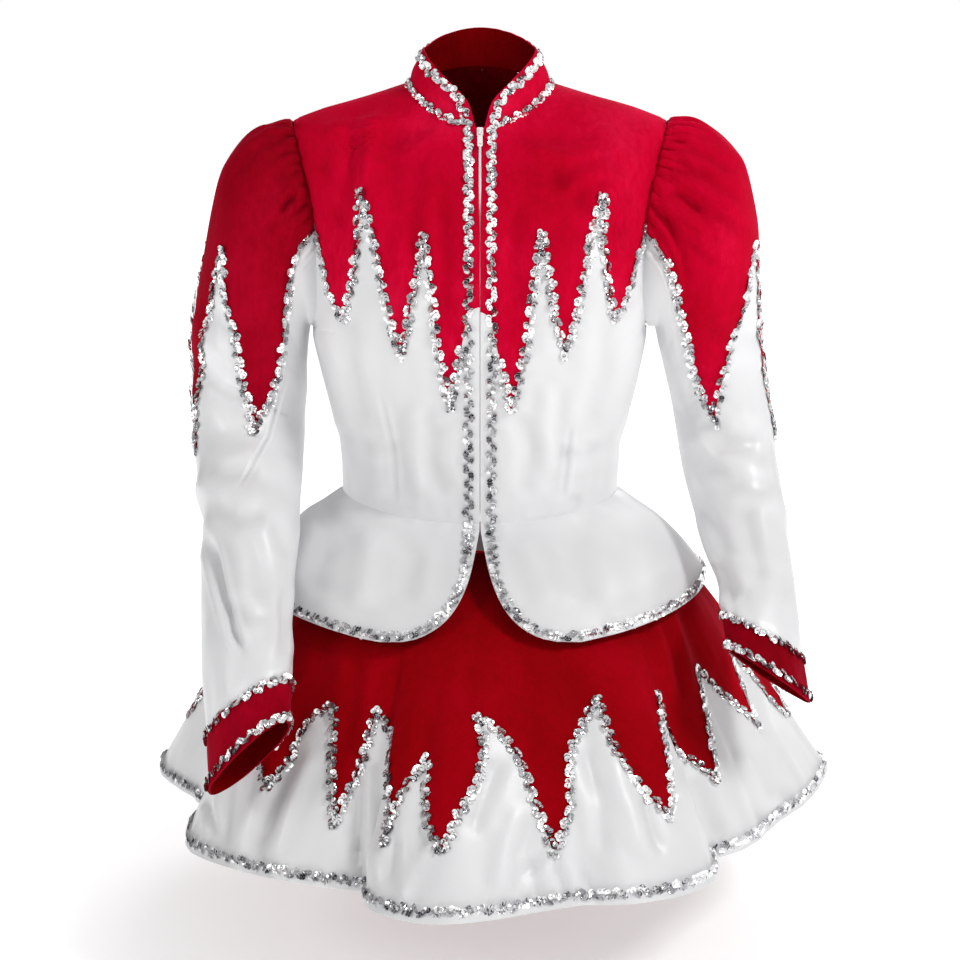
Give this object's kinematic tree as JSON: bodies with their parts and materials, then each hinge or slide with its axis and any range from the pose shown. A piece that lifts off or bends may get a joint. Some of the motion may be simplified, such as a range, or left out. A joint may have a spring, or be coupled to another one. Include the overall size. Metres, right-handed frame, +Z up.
{
  "type": "majorette uniform",
  "caption": "Fitted band jacket with stand collar, zip front, flame-edged panels, peplum and sequin bands, worn over a short flared circle skirt.",
  "frame": {"origin": "midway between the neck points of the two shoulder seams, where the jacket hangs on a wearer or a stand", "axes": "+X to the wearer's left, -Y the front of the jacket with the zip, +Z up"},
  "size_m": [0.7211, 0.7467, 0.7887],
  "materials": {
    "velvet": "dark red velvet with a soft nap",
    "satin": "white heavy satin, soft sheen",
    "band": "grey-mauve matte waistband",
    "zip_tape": "woven tape, dyed red",
    "zip_plastic": "white coil",
    "zip_metal": "white enamel on cast metal"
  },
  "bodies": {
    "garment": {"yoke_front_right": "velvet", "body_front_right": "satin", "yoke_front_left": "velvet", "body_front_left": "satin", "yoke_back": "velvet", "body_back": "satin", "collar_right": "velvet", "collar_left": "velvet", "peplum_front_right": "satin", "peplum_front_left": "satin", "peplum_back": "satin", "sleeve_cap_right": "velvet", "sleeve_lower_right": "satin", "sleeve_elbow_right": "satin", "sleeve_forearm_right": "satin", "cuff_right": "velvet", "sleeve_cap_left": "velvet", "sleeve_lower_left": "satin", "sleeve_elbow_left": "satin", "sleeve_forearm_left": "satin", "cuff_left": "velvet", "waistband": "band", "skirt_velvet_front": "velvet", "skirt_satin_front": "satin", "skirt_velvet_back": "velvet", "skirt_satin_back": "satin", "zip_chain": "zip_plastic", "zip_tape_right": "zip_tape", "zip_tape_left": "zip_tape", "zip_slider": "zip_metal"},
    "zip_pull": {"zip_pull": "zip_metal"}
  },
  "joints": [
    {"name": "zip_pull_hinge", "type": "hinge", "parent": "garment", "child": "zip_pull", "pos_m": [0, -0.06769, -0.04183], "axis": [-1, 0, 0], "range_deg": [0, 150]}
  ]
}
